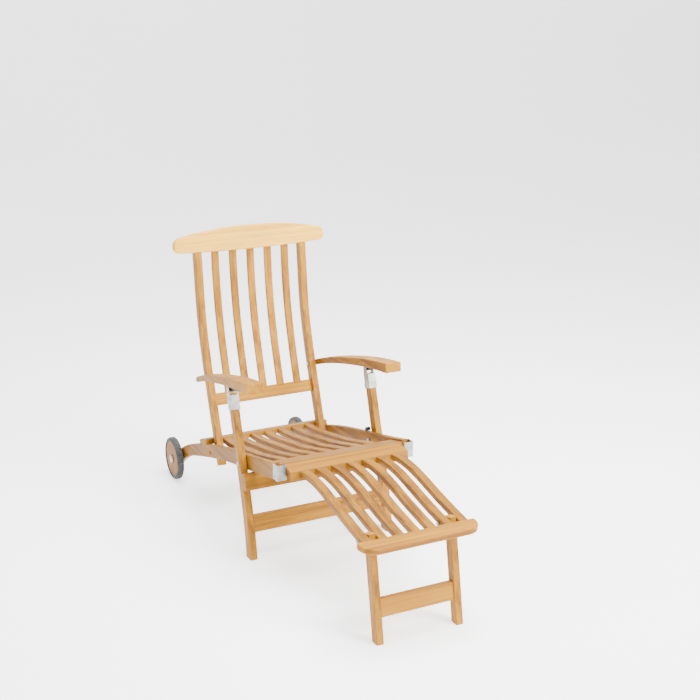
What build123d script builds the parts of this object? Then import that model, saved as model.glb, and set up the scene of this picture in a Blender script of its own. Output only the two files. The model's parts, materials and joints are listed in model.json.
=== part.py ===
from build123d import *
import os

# Folding steamer chair: wooden lounge with wheels, a hooked-on footrest and swinging arms.
# Frame: +Z up, footrest towards -Y, sitter's left towards +X, origin on the floor
# under the middle of the chair's bounding box.  All sizes in millimetres.

# ---- driving dimensions -------------------------------------------------------------
SLAT_PITCH = 56
SLAT_WIDTH = 30
SLAT_THICKNESS = 20
SEAT_SLATS = 7

RAIL_INNER = 229.5            # inner face of a side rail, from the middle plane
RAIL_OUTER = 250.5
RAIL_PATH = [(-240, 386.5), (0, 331), (250, 275), (480, 207), (667, 135), (743, 85)]
RAIL_DEPTH = (56, 44)         # at the footrest end and at the wheel end
SEAT_PATH = [(-160, 374), (-60, 348), (60, 316), (180, 292), (300, 269), (426, 256)]
FRONT_RAIL_TOP = ((-151, 386), (-239, 407))
FRONT_RAIL_THICKNESS = 24
REAR_BOARD_TOP = ((420, 271), (487, 251))
REAR_BOARD_THICKNESS = 21

STILE_INNER = 196
STILE_OUTER = 223
STILE_PATH = [(362, 183), (392, 270), (469, 490), (530, 714), (556, 945), (557, 953)]
STILE_DEPTH = 33
BACK_SLAT_PATH = [(450, 432), (469, 490), (503, 602), (530, 714), (548, 840), (556, 954)]
BACK_SLAT_PITCH = 70
BACK_SLAT_WIDTH = 28
BACK_SLAT_THICKNESS = 12
BACK_SLATS = 5
LOWER_RAIL = ((451, 411), 24, 46, 18.5)          # centre, thickness, height, lean
HEADBOARD_HALF = 300
HEADBOARD_RISE = 90           # middle of the crown above the middle of the lower edge
HEADBOARD_END_TOP = 58
HEADBOARD_END_LOW = 8
HEADBOARD_CORNERS = (28, 20)  # radius of the upper and the lower corners
HEADBOARD_FOOT = (540, 952)   # front lower edge, as (Y, Z)
HEADBOARD_THICKNESS = 24
HEADBOARD_LEAN = 6.5

LEG_INNER = 251.5
LEG_OUTER = 277.5
LEG_PATH = [(-60, -20), (-19, 204), (17, 326), (50, 434), (87, 556)]
LEG_DEPTH = (44, 35)
UPPER_RAIL = ((-32.5, 274), 25, 60, 16.4)
STRETCHER = ((-37, 118), 22, 61, 10.5)

ARM_INNER = 228
ARM_OUTER_FRONT = 288
ARM_OUTER_REAR = 252
ARM_PATH = [(-108, 632), (40, 610), (188, 578), (340, 538), (484, 489)]
ARM_DEPTH = (34, 21)
ARM_TAPER_START = -80         # the outer edge starts to curve inwards here
ARM_TAPER_MIDDLE = (279, 200)

# notched strip under each arm
RACK_INNER = 256
RACK_OUTER = 273
RACK_SLOPE = 12.6
RACK_LENGTH = 120
RACK_HEIGHT = 16
RACK_END = 4                  # it stops this far behind the pin, so the pin swings clear as the chair folds
NOTCHES = 4
NOTCH_PITCH = 27

WHEEL_RADIUS = 85
TYRE_HEIGHT = 16
TYRE_WIDTH = 27
WHEEL_INNER = 255
DISC_WIDTH = 21
HUB_RADIUS = 17
HUB_HEIGHT = 6

FOOTREST_PATH = [(-283, 382), (-380, 388), (-455, 379), (-530, 363), (-605, 347), (-670, 335), (-748, 322)]
FOOTREST_HALF = 217
END_BOARD_HALF = 204
END_BOARD_WIDTH = 64
END_BOARD_THICKNESS = 18
END_BOARD_CENTRE = (-770, 323)
END_BOARD_TILT = 4.5
END_BOARD_CORNER = 52         # radius of its two front corners
FOOT_LEG_INNER = 127.5
FOOT_LEG_OUTER = 152.5
FOOT_LEG_DEPTH = 34
FOOT_LEG_PATH = [(-764.5, -10), (-735.5, 160), (-703, 338)]
FOOT_STRETCHER = ((-745, 107), 22, 60, 9.5)

# pivots, as (Y, Z)
STILE_PIVOT = (376, 233)
LEG_PIVOT = (17, 326)
ARM_PIVOT = (470, 492)
NOTCH_PIN = (92, 570)
LEG_STOP = (54, 355)
AXLE = (743, WHEEL_RADIUS)
HOOK = (-255, 384)
FOOT_LEG_PIVOT = (-707, 322)

BOLT_RADIUS = 4
AXLE_RADIUS = 6
HEAD_RADIUS = 8
HEAD_HEIGHT = 3.5
HOOK_RADIUS = 5
NOTCH_PIN_RADIUS = 6
LEG_STOP_RADIUS = 7
RUNNING_CLEARANCE = 0.06
PLATE = 2                     # stainless plate thickness
PLATE_GAP = 0.2               # between a plate and the wood it wraps
RIVET_RADIUS = 3.5
RIVET_HEIGHT = 1.5

# the sizes above count Y from the front legs' feet; this puts the origin under the middle of the chair
CENTRE_SHIFT = -13


# ---- helpers ------------------------------------------------------------------------
def side_extrude(face, x_from, x_to):
    """Side-view face, drawn as (Y, Z), extruded across the chair between two X positions."""
    return Pos(x_from, 0, 0) * extrude(Plane.YZ * face, amount=x_to - x_from)


def bar_face(path, depth_start, depth_end, round_end=False):
    """Side view of a bar that follows a smooth centreline, tapers evenly and may end in a half round."""
    centre = Spline(*path)
    stations = 2 * len(path)
    upper = []
    lower = []
    for i in range(stations + 1):
        t = i / stations
        point = centre.position_at(t)
        along = centre.tangent_at(t)
        across = Vector(-along.Y, along.X) * (depth_start + (depth_end - depth_start) * t) / 2
        upper.append(point + across)
        lower.append(point - across)
    if round_end:
        tip = centre.position_at(1) + centre.tangent_at(1) * depth_end / 2
        end = ThreePointArc(upper[-1], tip, lower[-1])
    else:
        end = Line(upper[-1], lower[-1])
    outline = Curve() + [Spline(*upper), end, Spline(*lower), Line(lower[0], upper[0])]
    return make_face(outline.edges())


def soften(solid, radius, shortest=60):
    """Round every edge that is longer than the given length."""
    return fillet(solid.edges().filter_by(lambda edge: edge.length > shortest), radius)


def bar(path, depths, x_from, x_to, radius=3, round_end=False):
    """Curved wooden bar with softened long edges."""
    solid = side_extrude(bar_face(path, depths[0], depths[1], round_end), x_from, x_to)
    return soften(solid, radius)


def board(top_from, top_to, thickness, half_length, radius=2.5):
    """Flat board across the chair, hanging below the line between two top points."""
    start = Vector(*top_from)
    end = Vector(*top_to)
    along = (end - start).normalized()
    down = Vector(along.Y, -along.X) * thickness
    if down.Y > 0:
        down = down * -1
    outline = Polyline(start, end, end + down, start + down, close=True)
    solid = side_extrude(make_face(outline), -half_length, half_length)
    return soften(solid, radius)


def cross_rail(centre, thickness, height, lean, half_length):
    """Upright board across the chair that leans back by an angle in degrees."""
    face = Pos(*centre) * Rectangle(thickness, height, rotation=-lean)
    return soften(side_extrude(face, -half_length, half_length), 2.5)


def rod(centre, radius, x_from, x_to):
    """Round bar across the chair."""
    return side_extrude(Pos(*centre) * Circle(radius), x_from, x_to)


def bolt(centre, radius, x_from, x_to):
    """Bolt across the chair with a domed head at its x_to end and a nut at its x_from end."""
    shank = rod(centre, radius, x_from, x_to)
    head = rod(centre, HEAD_RADIUS, x_to, x_to + HEAD_HEIGHT)
    head = fillet(head.edges().group_by(Axis.X)[-1], HEAD_HEIGHT * 0.8)
    nut = side_extrude(Pos(*centre) * RegularPolygon(HEAD_RADIUS, 6), x_from - 5, x_from)
    return shank + head + nut


def washer(centre, hole_radius, x_from, x_to):
    return rod(centre, HEAD_RADIUS + 2, x_from, x_to) - rod(centre, hole_radius, x_from, x_to)


def pair(solid):
    """The piece on the sitter's left and its mirror image on the right."""
    return solid, mirror(solid, about=Plane.YZ)


def both(solid):
    """Both of a pair as one group of separate solids."""
    return Compound(children=[*Part(solid.wrapped).solids(), *mirror(solid, about=Plane.YZ).solids()])


def slat_positions(count, pitch):
    return [(i - (count - 1) / 2) * pitch for i in range(count)]


parts = {}


def keep(name, solid):
    parts[name] = solid


def keep_pair(name, solid):
    left, right = pair(solid)
    keep(name + "_left", left)
    keep(name + "_right", right)


# ---- seat frame ---------------------------------------------------------------------
axle = rod(AXLE, AXLE_RADIUS, RAIL_INNER, WHEEL_INNER + DISC_WIDTH + 1)
axle_nut = side_extrude(Pos(*AXLE) * RegularPolygon(12, 6), RAIL_INNER - 7, RAIL_INNER)
axle_spacer = washer(AXLE, AXLE_RADIUS, RAIL_OUTER, WHEEL_INNER - 0.3)
stile_bolt = bolt(STILE_PIVOT, BOLT_RADIUS, STILE_INNER, RAIL_OUTER)
leg_bolt = bolt(LEG_PIVOT, BOLT_RADIUS, RAIL_INNER, LEG_OUTER)

side_rail = bar(RAIL_PATH, RAIL_DEPTH, RAIL_INNER, RAIL_OUTER, round_end=True)
rear_board = board(*REAR_BOARD_TOP, REAR_BOARD_THICKNESS, RAIL_OUTER)
side_rail -= rear_board
side_rail -= rod(AXLE, AXLE_RADIUS, RAIL_INNER, RAIL_OUTER)
side_rail -= rod(STILE_PIVOT, BOLT_RADIUS, RAIL_INNER, RAIL_OUTER)
side_rail -= rod(LEG_PIVOT, BOLT_RADIUS, RAIL_INNER, RAIL_OUTER)

front_rail = board(*FRONT_RAIL_TOP, FRONT_RAIL_THICKNESS, RAIL_INNER)

seat_slat = bar(SEAT_PATH, (SLAT_THICKNESS, SLAT_THICKNESS), -SLAT_WIDTH / 2, SLAT_WIDTH / 2)
seat_slat -= front_rail
seat_slat -= rear_board

keep_pair("side_rail", side_rail)
keep("seat_front_rail", front_rail)
keep("seat_rear_board", rear_board)
for number, x in enumerate(slat_positions(SEAT_SLATS, SLAT_PITCH), start=1):
    keep(f"seat_slat_{number}", Pos(x, 0, 0) * seat_slat)
keep("wheel_axles", both(axle + axle_nut))
keep("axle_spacers", both(axle_spacer))
keep("stile_pivot_bolts", both(stile_bolt))
keep("leg_pivot_bolts", both(leg_bolt))

# stainless bracket round the footrest end of a side rail, with an open-topped hook slot
BRACKET_FRONT = -266
BRACKET_BACK = -232
BRACKET_LOW = 360
BRACKET_HIGH = 414
BRACKET_INNER = 219
INNER_PLATE_LENGTH = 20
BRACKET_SCREWS = [(-241, 370), (-241, 402)]
SLOT_HEIGHT = 80
SLOT_WIDTH = 2 * HOOK_RADIUS + 0.3
bracket_middle = (BRACKET_LOW + BRACKET_HIGH) / 2
bracket_height = BRACKET_HIGH - BRACKET_LOW
outer_length = BRACKET_BACK - BRACKET_FRONT
outer_plate = side_extrude(
    Pos(BRACKET_FRONT + outer_length / 2, bracket_middle) * RectangleRounded(outer_length, bracket_height, 6),
    RAIL_OUTER,
    RAIL_OUTER + PLATE,
)
inner_plate = side_extrude(
    Pos(BRACKET_FRONT + INNER_PLATE_LENGTH / 2, bracket_middle) * Rectangle(INNER_PLATE_LENGTH, bracket_height),
    BRACKET_INNER,
    BRACKET_INNER + PLATE,
)
hook_slot = SlotOverall(SLOT_HEIGHT, SLOT_WIDTH, rotation=90)
hook_slot_middle = HOOK[1] + (SLOT_HEIGHT - SLOT_WIDTH) / 2
inner_plate -= side_extrude(Pos(HOOK[0], hook_slot_middle) * hook_slot, BRACKET_INNER - 1, BRACKET_INNER + PLATE + 1)
front_width = RAIL_OUTER + PLATE - BRACKET_INNER
front_plate = Pos(BRACKET_INNER + front_width / 2, BRACKET_FRONT + PLATE / 2, bracket_middle) * Box(
    front_width, PLATE, bracket_height
)
hook_bracket = outer_plate + inner_plate + front_plate
keep_pair("hook_bracket", hook_bracket)
bracket_outside = RAIL_OUTER + PLATE
screw_heads = Part() + [
    rod(centre, RIVET_RADIUS, bracket_outside, bracket_outside + RIVET_HEIGHT) for centre in BRACKET_SCREWS
]
keep("bracket_screws", both(screw_heads))

# ---- wheels -------------------------------------------------------------------------
disc_radius = WHEEL_RADIUS - TYRE_HEIGHT
wheel_middle = WHEEL_INNER + TYRE_WIDTH / 2
disc_from = wheel_middle - DISC_WIDTH / 2
disc = rod(AXLE, disc_radius, disc_from, disc_from + DISC_WIDTH)
disc -= rod(AXLE, AXLE_RADIUS + RUNNING_CLEARANCE, disc_from, disc_from + DISC_WIDTH)
tyre = rod(AXLE, WHEEL_RADIUS, WHEEL_INNER, WHEEL_INNER + TYRE_WIDTH)
tyre = fillet(tyre.edges(), 6)
tyre -= rod(AXLE, disc_radius, WHEEL_INNER, WHEEL_INNER + TYRE_WIDTH)
hub_from = disc_from + DISC_WIDTH
hub = rod(AXLE, HUB_RADIUS, hub_from, hub_from + HUB_HEIGHT)
hub = fillet(hub.edges().group_by(Axis.X)[-1], 4)
keep_pair("wheel_disc", disc)
keep_pair("tyre", tyre)
keep_pair("hub_cap", hub)

# ---- back ---------------------------------------------------------------------------
stile = bar(STILE_PATH, (STILE_DEPTH, STILE_DEPTH), STILE_INNER, STILE_OUTER)
stile -= rod(STILE_PIVOT, BOLT_RADIUS + RUNNING_CLEARANCE, STILE_INNER, STILE_OUTER)
arm_bolt = bolt(ARM_PIVOT, BOLT_RADIUS, STILE_INNER, ARM_OUTER_REAR + 5)
stile -= rod(ARM_PIVOT, BOLT_RADIUS, STILE_INNER, STILE_OUTER)

lower_rail = cross_rail(*LOWER_RAIL, STILE_INNER)
back_slat = bar(
    BACK_SLAT_PATH,
    (BACK_SLAT_THICKNESS, BACK_SLAT_THICKNESS),
    -BACK_SLAT_WIDTH / 2,
    BACK_SLAT_WIDTH / 2,
    2,
)

headboard_top_left = (-HEADBOARD_HALF, HEADBOARD_END_TOP)
headboard_top_right = (HEADBOARD_HALF, HEADBOARD_END_TOP)
headboard_low_left = (-HEADBOARD_HALF, HEADBOARD_END_LOW)
headboard_low_right = (HEADBOARD_HALF, HEADBOARD_END_LOW)
headboard_outline = Curve() + [
    ThreePointArc(headboard_top_left, (0, HEADBOARD_RISE), headboard_top_right),
    Line(headboard_top_right, headboard_low_right),
    ThreePointArc(headboard_low_right, (0, 0), headboard_low_left),
    Line(headboard_low_left, headboard_top_left),
]
headboard_face = make_face(headboard_outline.edges())
headboard_face = fillet(headboard_face.vertices().group_by(Axis.Y)[-1], HEADBOARD_CORNERS[0])
headboard_face = fillet(headboard_face.vertices().group_by(Axis.Y)[0], HEADBOARD_CORNERS[1])
headboard_plane = Plane(origin=(0, *HEADBOARD_FOOT), x_dir=(1, 0, 0), z_dir=(0, -1, 0))
headboard_plane = headboard_plane.rotated((-HEADBOARD_LEAN, 0, 0))
headboard = extrude(headboard_plane * headboard_face, amount=-HEADBOARD_THICKNESS)
broad_faces = [headboard.faces().sort_by(Axis.Y)[i] for i in (0, -1)]
headboard = fillet(broad_faces[0].edges() + broad_faces[1].edges(), 4)
stile -= headboard
back_slat -= lower_rail
back_slat -= headboard

keep_pair("stile", stile)
for number, x in enumerate(slat_positions(BACK_SLATS, BACK_SLAT_PITCH), start=1):
    keep(f"back_slat_{number}", Pos(x, 0, 0) * back_slat)
keep("back_lower_rail", lower_rail)
keep("headboard", headboard)
keep("arm_pivot_bolts", both(arm_bolt))
keep("stile_washers", both(washer(STILE_PIVOT, BOLT_RADIUS + 0.1, STILE_OUTER + 0.3, RAIL_INNER - 0.3)))

# ---- arms ---------------------------------------------------------------------------
arm = side_extrude(bar_face(ARM_PATH, *ARM_DEPTH), ARM_INNER, ARM_OUTER_FRONT)
arm_front = ARM_PATH[0][0] - 20
arm_rear = ARM_PATH[-1][0] + 20
arm_plan = make_face(
    (
        Curve()
        + [
            Line((ARM_INNER, arm_front), (ARM_OUTER_FRONT, arm_front)),
            Line((ARM_OUTER_FRONT, arm_front), (ARM_OUTER_FRONT, ARM_TAPER_START)),
            ThreePointArc((ARM_OUTER_FRONT, ARM_TAPER_START), ARM_TAPER_MIDDLE, (ARM_OUTER_REAR, arm_rear)),
            Line((ARM_OUTER_REAR, arm_rear), (ARM_INNER, arm_rear)),
            Line((ARM_INNER, arm_rear), (ARM_INNER, arm_front)),
        ]
    ).edges()
)
arm = arm & extrude(Pos(0, 0, 400) * arm_plan, amount=300)
arm = soften(arm, 3, shortest=45)
arm -= rod(ARM_PIVOT, BOLT_RADIUS + RUNNING_CLEARANCE, ARM_INNER, ARM_OUTER_FRONT)
keep_pair("armrest", arm)

# notched strip under each arm that drops over the pin on the leg
rack_frame = Pos(*NOTCH_PIN) * Rot(0, 0, -RACK_SLOPE)
rack_middle = (RACK_END - RACK_LENGTH / 2, 1 + RACK_HEIGHT / 2)
rack_face = rack_frame * Pos(*rack_middle) * Rectangle(RACK_LENGTH, RACK_HEIGHT)
for notch in range(NOTCHES):
    rack_face -= rack_frame * Pos(-notch * NOTCH_PITCH, 0) * Circle(NOTCH_PIN_RADIUS + 0.8)
keep_pair("arm_rack", side_extrude(rack_face, RACK_INNER, RACK_OUTER) - arm)

# ---- leg frame ----------------------------------------------------------------------
leg = bar(LEG_PATH, LEG_DEPTH, LEG_INNER, LEG_OUTER)
leg = leg & (Pos(0, 0, 500) * Box(1000, 1000, 1000))
leg -= rod(LEG_PIVOT, BOLT_RADIUS + RUNNING_CLEARANCE, LEG_INNER, LEG_OUTER)
keep_pair("front_leg", leg)

upper_rail = cross_rail(*UPPER_RAIL, LEG_OUTER)
upper_rail -= leg
upper_rail -= mirror(leg, about=Plane.YZ)
keep("leg_upper_rail", upper_rail)
keep("leg_stretcher", cross_rail(*STRETCHER, LEG_INNER))

# stainless strap over the front and sides of each leg's top, with the pin that the arm's notches drop over
STRAP_LEAN = 16.5
STRAP_LOW = (73, 508)
STRAP_FRONT_MIDDLE = (61, 534)
STRAP_FRONT_HEIGHT = 52
STRAP_RIVETS = [(76, 516), (84, 541)]
leg_face = bar_face(LEG_PATH, LEG_DEPTH[0] + 2 * PLATE_GAP, LEG_DEPTH[1] + 2 * PLATE_GAP)
strap_allowance = 2 * (PLATE + PLATE_GAP)
wrap_face = bar_face(LEG_PATH, LEG_DEPTH[0] + strap_allowance, LEG_DEPTH[1] + strap_allowance) - leg_face
strap_window = Pos(*STRAP_FRONT_MIDDLE) * Rectangle(24, STRAP_FRONT_HEIGHT, rotation=-STRAP_LEAN)
strap_front = side_extrude(wrap_face & strap_window, LEG_INNER - PLATE, LEG_OUTER + PLATE)
strap_side_face = make_hull(
    [
        *(Pos(*NOTCH_PIN) * Circle(12)).edges(),
        *(Pos(*STRAP_LOW) * Rot(0, 0, -STRAP_LEAN) * Rectangle(39, 8)).edges(),
    ]
)
strap = side_extrude(strap_side_face, LEG_OUTER, LEG_OUTER + PLATE)
strap += side_extrude(strap_side_face, LEG_INNER - PLATE, LEG_INNER)
strap += strap_front
strap_outside = LEG_OUTER + PLATE
strap_rivets = Part() + [
    rod(centre, RIVET_RADIUS, strap_outside, strap_outside + RIVET_HEIGHT) for centre in STRAP_RIVETS
]
keep("leg_straps", both(strap))
keep("strap_rivets", both(strap_rivets))
notch_pin = rod(NOTCH_PIN, NOTCH_PIN_RADIUS, LEG_INNER, LEG_OUTER)
leg_stop = rod(LEG_STOP, LEG_STOP_RADIUS, RAIL_INNER + 5, LEG_INNER)
keep("leg_pins", both(Part() + [notch_pin, leg_stop]))

# ---- footrest -----------------------------------------------------------------------
top_rail_corners = [(-241.5, 407), (-291, 395.5), (-298, 366), (-249, 375)]
top_rail_face = make_face(Polyline(*top_rail_corners, close=True))
top_rail = soften(side_extrude(top_rail_face, -FOOTREST_HALF, FOOTREST_HALF), 2.5)
end_board = Box(2 * END_BOARD_HALF, END_BOARD_WIDTH, END_BOARD_THICKNESS)
upright_edges = end_board.edges().filter_by(Axis.Z).group_by(Axis.Y)
end_board = fillet(upright_edges[0], END_BOARD_CORNER)
end_board = fillet(end_board.edges().filter_by(Axis.Z).group_by(Axis.Y)[-1], 8)
end_board = fillet(end_board.faces().sort_by(Axis.Z)[-1].edges(), 4)
end_board = fillet(end_board.faces().sort_by(Axis.Z)[0].edges(), 3)
end_board = Pos(0, *END_BOARD_CENTRE) * Rot(X=END_BOARD_TILT) * end_board
foot_slat = bar(FOOTREST_PATH, (SLAT_THICKNESS, SLAT_THICKNESS), -SLAT_WIDTH / 2, SLAT_WIDTH / 2)
foot_slat -= top_rail
foot_slat -= end_board

pivot_rod_from = 2 * SLAT_PITCH - SLAT_WIDTH / 2
pivot_rod_to = 3 * SLAT_PITCH + SLAT_WIDTH / 2
pivot_rod = bolt(FOOT_LEG_PIVOT, BOLT_RADIUS, pivot_rod_from, pivot_rod_to)
pivot_hole = rod(FOOT_LEG_PIVOT, BOLT_RADIUS, -FOOTREST_HALF, FOOTREST_HALF)
for number, x in enumerate(slat_positions(SEAT_SLATS, SLAT_PITCH), start=1):
    slat = Pos(x, 0, 0) * foot_slat
    if abs(x) > 1.5 * SLAT_PITCH:
        slat -= pivot_hole
    keep(f"footrest_slat_{number}", slat)
hook_pin = rod(HOOK, HOOK_RADIUS, FOOTREST_HALF - 25, RAIL_OUTER - 1)
top_rail -= both(hook_pin)
keep("footrest_top_rail", top_rail)
keep("footrest_end_board", end_board)
keep("footrest_hook_pins", both(hook_pin))
keep("footrest_pivot_rods", both(pivot_rod))

# ---- footrest legs ------------------------------------------------------------------
foot_leg = bar(FOOT_LEG_PATH, (FOOT_LEG_DEPTH, FOOT_LEG_DEPTH), FOOT_LEG_INNER, FOOT_LEG_OUTER)
foot_leg = foot_leg & (Pos(0, -700, 500) * Box(1000, 1000, 1000))
foot_leg -= rod(FOOT_LEG_PIVOT, BOLT_RADIUS + RUNNING_CLEARANCE, FOOT_LEG_INNER, FOOT_LEG_OUTER)
keep_pair("footrest_leg", foot_leg)
keep("footrest_leg_stretcher", cross_rail(*FOOT_STRETCHER, FOOT_LEG_INNER))

# ---- write --------------------------------------------------------------------------
os.makedirs("parts", exist_ok=True)
for name, solid in parts.items():
    export_step(Pos(0, CENTRE_SHIFT, 0) * solid, f"parts/{name}.step")
    print(name, round(solid.volume / 1000, 1), "cm3")
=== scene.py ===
import json
import math
import bmesh
import bpy
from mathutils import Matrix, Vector


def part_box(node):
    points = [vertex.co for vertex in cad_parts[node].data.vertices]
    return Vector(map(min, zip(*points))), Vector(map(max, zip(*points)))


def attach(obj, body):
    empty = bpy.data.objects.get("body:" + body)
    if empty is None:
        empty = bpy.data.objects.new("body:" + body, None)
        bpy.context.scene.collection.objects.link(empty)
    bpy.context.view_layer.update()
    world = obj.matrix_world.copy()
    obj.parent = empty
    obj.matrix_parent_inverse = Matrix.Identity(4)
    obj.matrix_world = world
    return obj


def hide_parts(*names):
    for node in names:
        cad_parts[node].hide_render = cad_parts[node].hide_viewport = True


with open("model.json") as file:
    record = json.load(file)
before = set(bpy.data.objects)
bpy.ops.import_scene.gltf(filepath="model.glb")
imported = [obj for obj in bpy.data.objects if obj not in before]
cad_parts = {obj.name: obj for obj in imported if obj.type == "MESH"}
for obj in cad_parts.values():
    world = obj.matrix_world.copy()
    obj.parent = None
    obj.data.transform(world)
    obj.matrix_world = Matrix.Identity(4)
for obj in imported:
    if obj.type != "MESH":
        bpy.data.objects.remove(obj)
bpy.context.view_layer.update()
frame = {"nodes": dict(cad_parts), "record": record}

# ---- sizes, in metres ---------------------------------------------------------------
TREAD_RIBS = 60
STEPS_PER_RIB = 4
TREAD_DEPTH = 0.0016
TREAD_SHOULDER = 0.0065       # the tread's ribs are cut within this distance of the tyre's rim
SIDEWALL_SHARE = 0.30         # height of the moulded step, as a share of the tyre's section
FLOOR_HALF_WIDTH = 14.0
FLOOR_FRONT = -9.0
FLOOR_BACK = 6.0
FLOOR_BEND = 3.0
FLOOR_BEND_STEPS = 16
BACKDROP_HEIGHT = 9.0
LAMP_TARGET = Vector((0.0, 0.0, 0.45))
CAMERA_PLACE = Vector((-1.737, -3.797, 1.968))
CAMERA_TARGET = Vector((0.080, -0.142, 0.726))
CAMERA_LENS = 65.07           # millimetres, on a 36 mm sensor

# brightness of the floor's own glow and of the sky, and the lamps: name, place, size, watts, colour
FLOOR_GLOW = 1.7
SKY_STRENGTH = 0.30
LAMPS = (
    ("overhead", (0.3, -0.6, 4.0), 2.6, 640, (1.0, 1.0, 1.0)),
    ("key_front_right", (2.6, -4.2, 2.9), 1.8, 560, (1.0, 0.985, 0.96)),
)

# teak tones, linear colour: (dark streak, body, light streak)
HONEY = ((0.20, 0.074, 0.0035), (0.30, 0.126, 0.0055), (0.40, 0.182, 0.0095))
GOLDEN = ((0.13, 0.047, 0.0020), (0.21, 0.084, 0.0035), (0.285, 0.124, 0.0060))
PALE = ((0.58, 0.27, 0.020), (0.75, 0.40, 0.038), (0.84, 0.49, 0.060))
DEEP = ((0.12, 0.042, 0.0025), (0.18, 0.068, 0.0040), (0.24, 0.098, 0.0060))

# how much lighter or darker each board of a repeated row is, one after another
BOARD_TONES = (1.00, 0.93, 1.06, 0.90, 1.03, 0.96, 1.08)


# ---- materials ----------------------------------------------------------------------
def new_material(name):
    """A node material with only its output and a Principled shader, and the helpers to wire it."""
    material = bpy.data.materials.new(name)
    material.use_nodes = True
    tree = material.node_tree
    tree.nodes.clear()
    output = tree.nodes.new("ShaderNodeOutputMaterial")
    shader = tree.nodes.new("ShaderNodeBsdfPrincipled")
    tree.links.new(shader.outputs["BSDF"], output.inputs["Surface"])
    return material, tree, shader


def add(tree, kind, **settings):
    node = tree.nodes.new(kind)
    for key, value in settings.items():
        setattr(node, key, value)
    return node


def stretched_noise(tree, scale, offset, detail, roughness=0.5, distortion=0.0):
    """Noise in the object's own coordinates, stretched by a scale along each axis."""
    place = add(tree, "ShaderNodeTexCoord")
    mapping = add(tree, "ShaderNodeMapping")
    mapping.inputs["Scale"].default_value = scale
    mapping.inputs["Location"].default_value = offset
    noise = add(tree, "ShaderNodeTexNoise")
    noise.inputs["Scale"].default_value = 1.0
    noise.inputs["Detail"].default_value = detail
    noise.inputs["Roughness"].default_value = roughness
    noise.inputs["Distortion"].default_value = distortion
    tree.links.new(place.outputs["Object"], mapping.inputs["Vector"])
    tree.links.new(mapping.outputs["Vector"], noise.inputs["Vector"])
    return noise.outputs["Fac"]


def ramp(tree, value, stops):
    """Colour ramp with (position, linear colour) stops."""
    node = add(tree, "ShaderNodeValToRGB")
    elements = node.color_ramp.elements
    while len(elements) < len(stops):
        elements.new(0.5)
    for element, (position, colour) in zip(elements, stops):
        element.position = position
        element.color = (*colour, 1.0)
    tree.links.new(value, node.inputs["Fac"])
    return node.outputs["Color"]


def mix(tree, factor, first, second, blend="MIX"):
    node = add(tree, "ShaderNodeMix", data_type="RGBA", blend_type=blend)
    sockets = (node.inputs["Factor"], node.inputs[6], node.inputs[7])
    for socket, value in zip(sockets, (factor, first, second)):
        if isinstance(value, (int, float)):
            socket.default_value = value
        elif isinstance(value, tuple):
            socket.default_value = (*value, 1.0)
        else:
            tree.links.new(value, socket)
    return node.outputs[2]


def remap(tree, value, low, high, from_low=0.0, from_high=1.0):
    node = add(tree, "ShaderNodeMapRange")
    node.inputs["From Min"].default_value = from_low
    node.inputs["From Max"].default_value = from_high
    node.inputs["To Min"].default_value = low
    node.inputs["To Max"].default_value = high
    tree.links.new(value, node.inputs["Value"])
    return node.outputs["Result"]


def bump(tree, shader, height, strength, distance):
    node = add(tree, "ShaderNodeBump")
    node.inputs["Strength"].default_value = strength
    node.inputs["Distance"].default_value = distance
    tree.links.new(height, node.inputs["Height"])
    tree.links.new(node.outputs["Normal"], shader.inputs["Normal"])


def along(grain, long_scale, cross_scale):
    """Scales with the grain's axis stretched out."""
    return tuple(long_scale if axis == grain else cross_scale for axis in "XYZ")


def wood(name, tones, grain, seed, tone=1.0):
    """Oiled teak: broad growth bands, fine fibres and dark pores along one grain axis, and a painted
    highlight on convex edges.
    """
    material, tree, shader = new_material(name)
    offset = (seed * 3.17, seed * 1.93, seed * 2.41)
    dark, body, light = (tuple(channel * tone for channel in colour) for colour in tones)
    bands = stretched_noise(tree, along(grain, 1.3, 62), offset, 3.0, 0.55, 0.25)
    colour = ramp(tree, bands, ((0.30, dark), (0.46, body), (0.60, light), (0.74, body)))
    figure = stretched_noise(tree, along(grain, 3.5, 9), offset, 2.0)
    shade = ramp(tree, figure, ((0.3, (0.92, 0.90, 0.87)), (0.7, (1.05, 1.04, 1.02))))
    colour = mix(tree, 1.0, colour, shade, "MULTIPLY")
    fibres = stretched_noise(tree, along(grain, 9, 620), offset, 4.0, 0.65)
    streaks = ramp(tree, fibres, ((0.36, (0.72, 0.66, 0.58)), (0.52, (1.0, 1.0, 1.0))))
    colour = mix(tree, 0.7, colour, streaks, "MULTIPLY")
    pores = stretched_noise(tree, along(grain, 26, 1100), offset, 1.0)
    pits = ramp(tree, pores, ((0.30, (0.45, 0.36, 0.28)), (0.38, (1.0, 1.0, 1.0))))
    colour = mix(tree, 0.55, colour, pits, "MULTIPLY")
    geometry = add(tree, "ShaderNodeNewGeometry")
    # painted highlight: convex edges (high pointiness) are blended towards the light streak tone,
    # brightened by a quarter
    edge_highlight = remap(tree, geometry.outputs["Pointiness"], 0.0, 0.5, 0.52, 0.66)
    colour = mix(tree, edge_highlight, colour, tuple(min(1.0, channel * 1.25) for channel in light))
    tree.links.new(colour, shader.inputs["Base Color"])
    tree.links.new(remap(tree, fibres, 0.62, 0.44), shader.inputs["Roughness"])
    shader.inputs["Specular IOR Level"].default_value = 0.18
    bump(tree, shader, fibres, 0.35, 0.0006)
    return material


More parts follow.
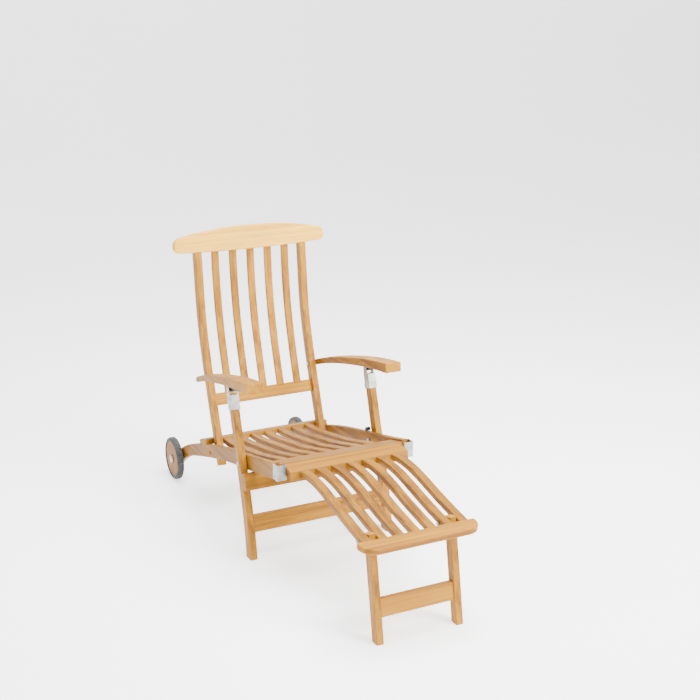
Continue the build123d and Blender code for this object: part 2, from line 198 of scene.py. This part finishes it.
def brushed_steel(name):
    """Stainless plate with fine brushing, smudges and a duller tone in patches."""
    material, tree, shader = new_material(name)
    brushing = stretched_noise(tree, (30, 90, 1400), (0, 0, 0), 3.0)
    smudges = stretched_noise(tree, (45, 45, 45), (4, 2, 1), 3.0)
    colour = ramp(tree, smudges, ((0.3, (0.20, 0.20, 0.195)), (0.7, (0.36, 0.355, 0.34))))
    tree.links.new(colour, shader.inputs["Base Color"])
    tree.links.new(remap(tree, brushing, 0.24, 0.46), shader.inputs["Roughness"])
    shader.inputs["Metallic"].default_value = 1.0
    bump(tree, shader, brushing, 0.12, 0.0003)
    return material


def rubber(name):
    """Black tyre rubber, dusty and slightly green-grey, with a pebbled skin."""
    material, tree, shader = new_material(name)
    dust = stretched_noise(tree, (38, 38, 38), (1, 5, 2), 4.0, 0.6)
    colour = ramp(tree, dust, ((0.35, (0.020, 0.022, 0.020)), (0.70, (0.060, 0.064, 0.058))))
    tree.links.new(colour, shader.inputs["Base Color"])
    skin = stretched_noise(tree, (900, 900, 900), (0, 0, 0), 2.0)
    tree.links.new(remap(tree, dust, 0.58, 0.82), shader.inputs["Roughness"])
    bump(tree, shader, skin, 0.25, 0.0004)
    return material


def black_plastic(name):
    """Moulded black plastic with a fine satin grain."""
    material, tree, shader = new_material(name)
    cloud = stretched_noise(tree, (60, 60, 60), (7, 3, 1), 3.0)
    colour = ramp(tree, cloud, ((0.3, (0.014, 0.014, 0.014)), (0.7, (0.030, 0.030, 0.029))))
    tree.links.new(colour, shader.inputs["Base Color"])
    grain = stretched_noise(tree, (1500, 1500, 1500), (0, 0, 0), 2.0)
    tree.links.new(remap(tree, grain, 0.38, 0.56), shader.inputs["Roughness"])
    bump(tree, shader, grain, 0.15, 0.0002)
    return material


def studio_floor(name):
    """Matt, very pale floor with a faint glow of its own."""
    material, tree, shader = new_material(name)
    cloud = stretched_noise(tree, (1.2, 1.2, 1.2), (0, 0, 0), 2.0)
    colour = ramp(tree, cloud, ((0.3, (0.86, 0.86, 0.87)), (0.7, (0.90, 0.90, 0.905))))
    tree.links.new(colour, shader.inputs["Base Color"])
    shader.inputs["Roughness"].default_value = 0.85
    shader.inputs["Emission Color"].default_value = (1.0, 1.0, 1.0, 1.0)
    shader.inputs["Emission Strength"].default_value = FLOOR_GLOW
    shader.inputs["Specular IOR Level"].default_value = 0.1
    return material


def paint(obj, material):
    obj.data.materials.clear()
    obj.data.materials.append(material)


# which tones and which grain axis each wooden node has
WOODEN = {
    "side_rail": (GOLDEN, "Y"),
    "seat_front_rail": (GOLDEN, "X"),
    "seat_rear_board": (GOLDEN, "X"),
    "seat_slat": (GOLDEN, "Y"),
    "stile": (HONEY, "Z"),
    "back_slat": (HONEY, "Z"),
    "back_lower_rail": (HONEY, "X"),
    "headboard": (PALE, "X"),
    "armrest": (HONEY, "Y"),
    "front_leg": (HONEY, "Z"),
    "leg_upper_rail": (GOLDEN, "X"),
    "leg_stretcher": (HONEY, "X"),
    "footrest_top_rail": (GOLDEN, "X"),
    "footrest_slat": (GOLDEN, "Y"),
    "footrest_end_board": (HONEY, "X"),
    "footrest_leg_stretcher": (HONEY, "X"),
    "footrest_leg": (HONEY, "Z"),
    "wheel_disc": (DEEP, "Y"),
}


def wooden_kind(node):
    """The longest key of WOODEN that the node's name starts with."""
    kinds = [kind for kind in WOODEN if node.startswith(kind)]
    return max(kinds, key=len) if kinds else None


def board_tone(node):
    """A repeated board's own shade, from its number or its side."""
    tail = node.rsplit("_", 1)[-1]
    if tail.isdigit():
        return BOARD_TONES[(int(tail) * 3 + len(node)) % len(BOARD_TONES)]
    return 0.97 if tail == "right" else 1.0


steel = brushed_steel("brushed_steel")
plastic = black_plastic("black_plastic")
tyre_rubber = rubber("tyre_rubber")
other_finish = {"stainless": steel, "black_plastic": plastic, "tyre": tyre_rubber}
slots = {part["node"]: part["material_slot"] for part in frame["record"]["subparts"]}

for seed, (node, obj) in enumerate(sorted(frame["nodes"].items())):
    kind = wooden_kind(node)
    if kind:
        tones, grain = WOODEN[kind]
        paint(obj, wood(f"teak_{node}", tones, grain, seed, board_tone(node)))
    else:
        paint(obj, other_finish[slots[node]])


# ---- ribbed tyres -------------------------------------------------------------------
def ribbed_tyre(side):
    """Closed rubber ring with a crowned tread cut by cross ribs and a moulded sidewall step."""
    low, high = (Vector(corner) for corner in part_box(f"tyre_{side}"))
    disc_low, disc_high = (Vector(corner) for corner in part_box(f"wheel_disc_{side}"))
    centre = (low + high) / 2
    outer = (high.z - low.z) / 2
    inner = (disc_high.z - disc_low.z) / 2
    half = (high.x - low.x) / 2
    wall = SIDEWALL_SHARE * (outer - inner)
    half_section = [
        (half * 0.80, inner),
        (half * 0.98, inner + 0.003),
        (half, inner + wall),
        (half * 0.93, inner + wall + 0.0012),
        (half * 0.97, outer - 0.006),
        (half * 0.80, outer - 0.0022),
        (half * 0.45, outer - 0.0004),
    ]
    left_section = [(-x, radius) for x, radius in half_section]
    section = left_section + [(0.0, outer)] + half_section[::-1]
    steps = TREAD_RIBS * STEPS_PER_RIB
    mesh = bmesh.new()
    rings = []
    for step in range(steps):
        angle = 2 * math.pi * step / steps
        sunk = TREAD_DEPTH if step % STEPS_PER_RIB >= STEPS_PER_RIB / 2 else 0.0
        ring = []
        for x, radius in section:
            cut = sunk if radius > outer - TREAD_SHOULDER else 0.0
            reach = radius - cut
            offset = Vector((x, reach * math.cos(angle), reach * math.sin(angle)))
            ring.append(mesh.verts.new(centre + offset))
        rings.append(ring)
    for step in range(steps):
        this_ring = rings[step]
        next_ring = rings[(step + 1) % steps]
        for i in range(len(section)):
            j = (i + 1) % len(section)
            mesh.faces.new((this_ring[i], this_ring[j], next_ring[j], next_ring[i]))
    bmesh.ops.recalc_face_normals(mesh, faces=mesh.faces)
    data = bpy.data.meshes.new(f"ribbed_tyre_{side}")
    mesh.to_mesh(data)
    mesh.free()
    tyre = bpy.data.objects.new(f"ribbed_tyre_{side}", data)
    bpy.context.collection.objects.link(tyre)
    paint(tyre, tyre_rubber)
    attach(tyre, f"wheel_{side}")
    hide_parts(f"tyre_{side}")


for side in ("left", "right"):
    ribbed_tyre(side)


# ---- floor, lights and camera -------------------------------------------------------
def floor():
    """Pale floor that curves up into a pale backdrop far behind the chair."""
    path = [(FLOOR_FRONT, 0.0), (FLOOR_BACK, 0.0)]
    for step in range(1, FLOOR_BEND_STEPS + 1):
        angle = math.pi / 2 * step / FLOOR_BEND_STEPS
        path.append((FLOOR_BACK + FLOOR_BEND * math.sin(angle), FLOOR_BEND - FLOOR_BEND * math.cos(angle)))
    path.append((FLOOR_BACK + FLOOR_BEND, BACKDROP_HEIGHT))
    mesh = bmesh.new()
    rows = [[mesh.verts.new((x, y, z)) for x in (-FLOOR_HALF_WIDTH, FLOOR_HALF_WIDTH)] for y, z in path]
    for low_row, high_row in zip(rows, rows[1:]):
        face = mesh.faces.new((low_row[0], low_row[1], high_row[1], high_row[0]))
        face.smooth = True
    data = bpy.data.meshes.new("studio_floor")
    mesh.to_mesh(data)
    mesh.free()
    sheet = bpy.data.objects.new("studio_floor", data)
    bpy.context.collection.objects.link(sheet)
    paint(sheet, studio_floor("studio_floor"))


def soft_light(name, place, size, power, colour):
    """Square area light aimed at the middle of the chair."""
    data = bpy.data.lights.new(name, "AREA")
    data.shape = "SQUARE"
    data.size = size
    data.energy = power
    data.color = colour
    light = bpy.data.objects.new(name, data)
    light.location = place
    light.rotation_euler = (LAMP_TARGET - Vector(place)).to_track_quat("-Z", "Y").to_euler()
    bpy.context.collection.objects.link(light)


floor()
for lamp in LAMPS:
    soft_light(*lamp)

world = bpy.data.worlds.new("studio")
world.use_nodes = True
background = world.node_tree.nodes["Background"]
background.inputs["Color"].default_value = (0.96, 0.97, 1.0, 1.0)
background.inputs["Strength"].default_value = SKY_STRENGTH
bpy.context.scene.world = world

camera_data = bpy.data.cameras.new("camera")
camera_data.sensor_width = 36.0
camera_data.lens = CAMERA_LENS
camera = bpy.data.objects.new("camera", camera_data)
camera.location = CAMERA_PLACE
camera.rotation_euler = (CAMERA_TARGET - CAMERA_PLACE).to_track_quat("-Z", "Y").to_euler()
bpy.context.collection.objects.link(camera)
bpy.context.scene.camera = camera
